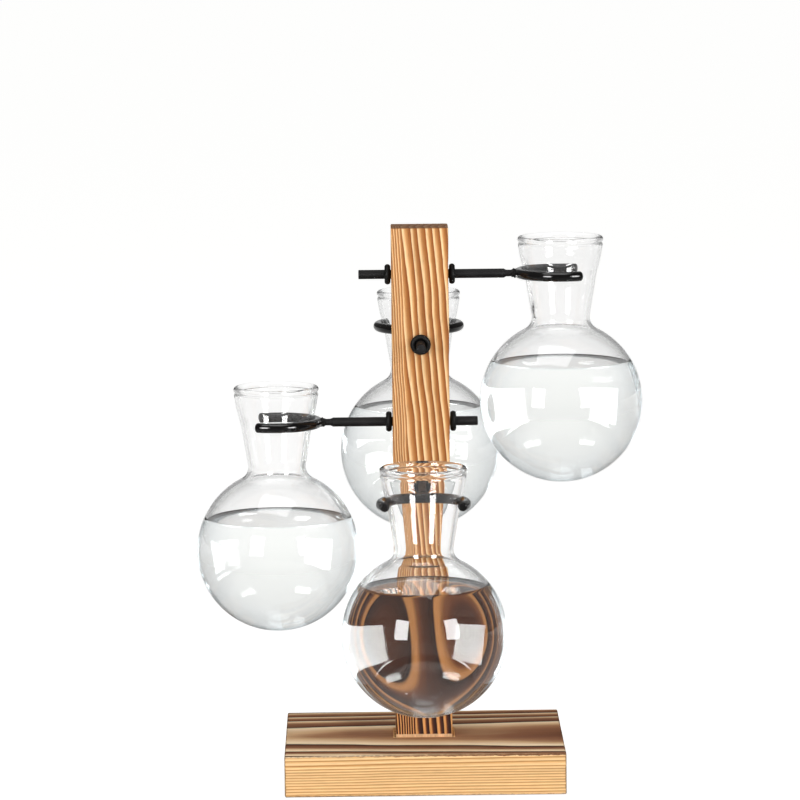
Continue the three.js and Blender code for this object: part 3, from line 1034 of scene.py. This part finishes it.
def makeClear(name, ior, through, mirrors, colours):
    # through is the share of light that a shadow lets pass, and mirrors the share of the plain reflection
    # that is left where glass and water meet
    material, shader, position = newMaterial(name)
    tree = shader.id_data
    slant = tree.nodes.new("ShaderNodeLayerWeight").outputs["Facing"]
    ripple = noise(position, 60.0, 2.0)
    # Where the colours darken towards grazing, that is painted shade along the edges of the glass and the water
    feedAll(shader, {"Base Color": ramp(slant, colours), "Specular Tint": grey(mirrors), "IOR": ior,
                     "Transmission Weight": 1.0, "Roughness": remap(ripple, 0.3, 0.7, 0.0, 0.012)})
    clear = newNode(tree, "ShaderNodeBsdfTransparent", {"Color": grey(through)})
    path = tree.nodes.new("ShaderNodeLightPath").outputs
    soft = maths("MAXIMUM", path["Is Shadow Ray"], path["Is Diffuse Ray"])
    toSurface(newNode(tree, "ShaderNodeMixShader", (soft, shader.outputs[0], clear)))
    return material


def neckRadius(height):
    return vaseLook["waist"] + (height - vaseLook["waistHeight"]) * vaseLook["flare"]


def vaseProfile():
    look = vaseLook
    lean = math.atan(look["flare"])
    offset = look["waist"] - look["waistHeight"] * look["flare"] + look["fillet"] / math.cos(lean)
    a = 1 + look["flare"] ** 2
    b = 2 * look["flare"] * offset
    c = offset ** 2 - (look["bulb"] + look["fillet"]) ** 2
    height = (-b + math.sqrt(b * b - 4 * a * c)) / (2 * a)
    radius = offset + look["flare"] * height
    touch = math.atan2(height, radius)
    neckSide = math.pi - lean
    beadHeight = look["rim"] - look["bead"]
    beadRadius = neckRadius(beadHeight) - look["wall"] / 2 / math.cos(lean)
    grip = math.asin(look["wall"] / 2 / look["bead"])
    outer = arc(0, 0, look["bulb"], -math.pi / 2, touch, 72)
    outer += arc(radius, height, look["fillet"], touch + math.pi, neckSide, 14)[1:]
    rim = arc(beadRadius, beadHeight, look["bead"], -math.pi / 2 - lean + grip, 1.5 * math.pi - lean - grip, 16)
    inner = arc(radius, height, look["fillet"] + look["wall"], neckSide, touch + math.pi, 14)
    insideBulb = arc(0, 0, look["bulb"] - look["wall"], touch, -math.pi / 2, 72)[1:]

    def opening(h):
        # The neck opens a little more towards its rim
        t = min(1.0, max(0.0, (h - look["openingFrom"]) / (look["openingTo"] - look["openingFrom"])))
        return look["opening"] * t * t * (3 - 2 * t)

    def neckWall(start, end, count):
        heights = [start[1] + (end[1] - start[1]) * k / count for k in range(1, count)]
        return [[start[0] + (h - start[1]) * look["flare"] + opening(h), h] for h in heights]

    outerNeck = neckWall(outer[-1], rim[0], 30)
    innerNeck = neckWall(inner[0], rim[-1], 30)[::-1]
    profile = outer + outerNeck + rim + innerNeck + inner + insideBulb
    profile[0][0] = profile[-1][0] = 0.0
    return [[r * mm, h * mm] for r, h in profile]


def waterProfile(level):
    # A ball cut level, which runs a little into the wall so that no film of air shows, with a rim that creeps up
    meniscus, reach = waterLook["meniscus"], waterLook["reach"]
    inside = vaseLook["bulb"] - vaseLook["wall"]
    outside = inside + waterLook["into"]
    contact = level + meniscus
    edge = math.asin(contact / outside)
    profile = arc(0, 0, outside, -math.pi / 2, edge, 64)
    wallRadius = math.sqrt(inside ** 2 - contact ** 2)
    for k in range(12):
        t = k / 12
        profile.append([wallRadius - 0.02 - reach * t, level + meniscus * (1 - t) ** 2.6])
    profile += [[wallRadius - reach, level], [(wallRadius - reach) / 2, level], [0, level]]
    profile[0][0] = 0.0
    return [[r * mm, h * mm] for r, h in profile]


def makeVases():
    look = vaseLook
    glass = makeClear("clearGlass", look["ior"], 0.96, 1.0, look["dryGlassEdgeShade"])
    filledGlass = makeClear("filledGlass", look["ior"], 0.96, 1.0, look["filledGlassEdgeShade"])
    wetGlass = makeClear("wetGlass", look["ior"], 0.98, 0.08, look["wet"])
    water = makeClear("clearWater", waterLook["ior"], 0.98, 0.1, waterLook["clear"])
    surface = makeClear("waterSurface", waterLook["ior"], 0.98, 1.0, waterLook["surface"])
    profile = vaseProfile()
    for number, name in enumerate(stationNames):
        low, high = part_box(name + "_vase")
        centre = Vector(((low.x + high.x) / 2, (low.y + high.y) / 2, high.z - look["rim"] * mm))
        spin = 1.3 * number

        def blown(angle, height, spin=spin):
            return 1 + 0.0011 * math.sin(2 * angle + spin + height * 30) + 0.0007 * math.sin(5 * angle - 2 * spin)

        mesh = lathe("vase", profile, look["sides"], None, blown)
        level = waterLook["levels"][name] * mm
        for polygon in mesh.polygons:
            inside = polygon.center.length < (look["bulb"] - look["wall"] / 2) * mm
            polygon.material_index = 0 if polygon.center.z > level else 2 if inside else 1
        mesh.transform(Matrix.Translation(centre))
        materials = [glass, filledGlass, wetGlass]
        newPiece(name + "_glass", mesh, materials, name + "_bulb", [name + "_vase"])
        mesh = lathe("water", waterProfile(waterLook["levels"][name]), waterLook["sides"])
        for polygon in mesh.polygons:
            polygon.material_index = 1 if polygon.normal.z > 0.8 else 0
        mesh.transform(Matrix.Translation(centre))
        newPiece(name + "_filling", mesh, [water, surface], name + "_fill", [name + "_water"])


makeVases()
print("vases and water made")
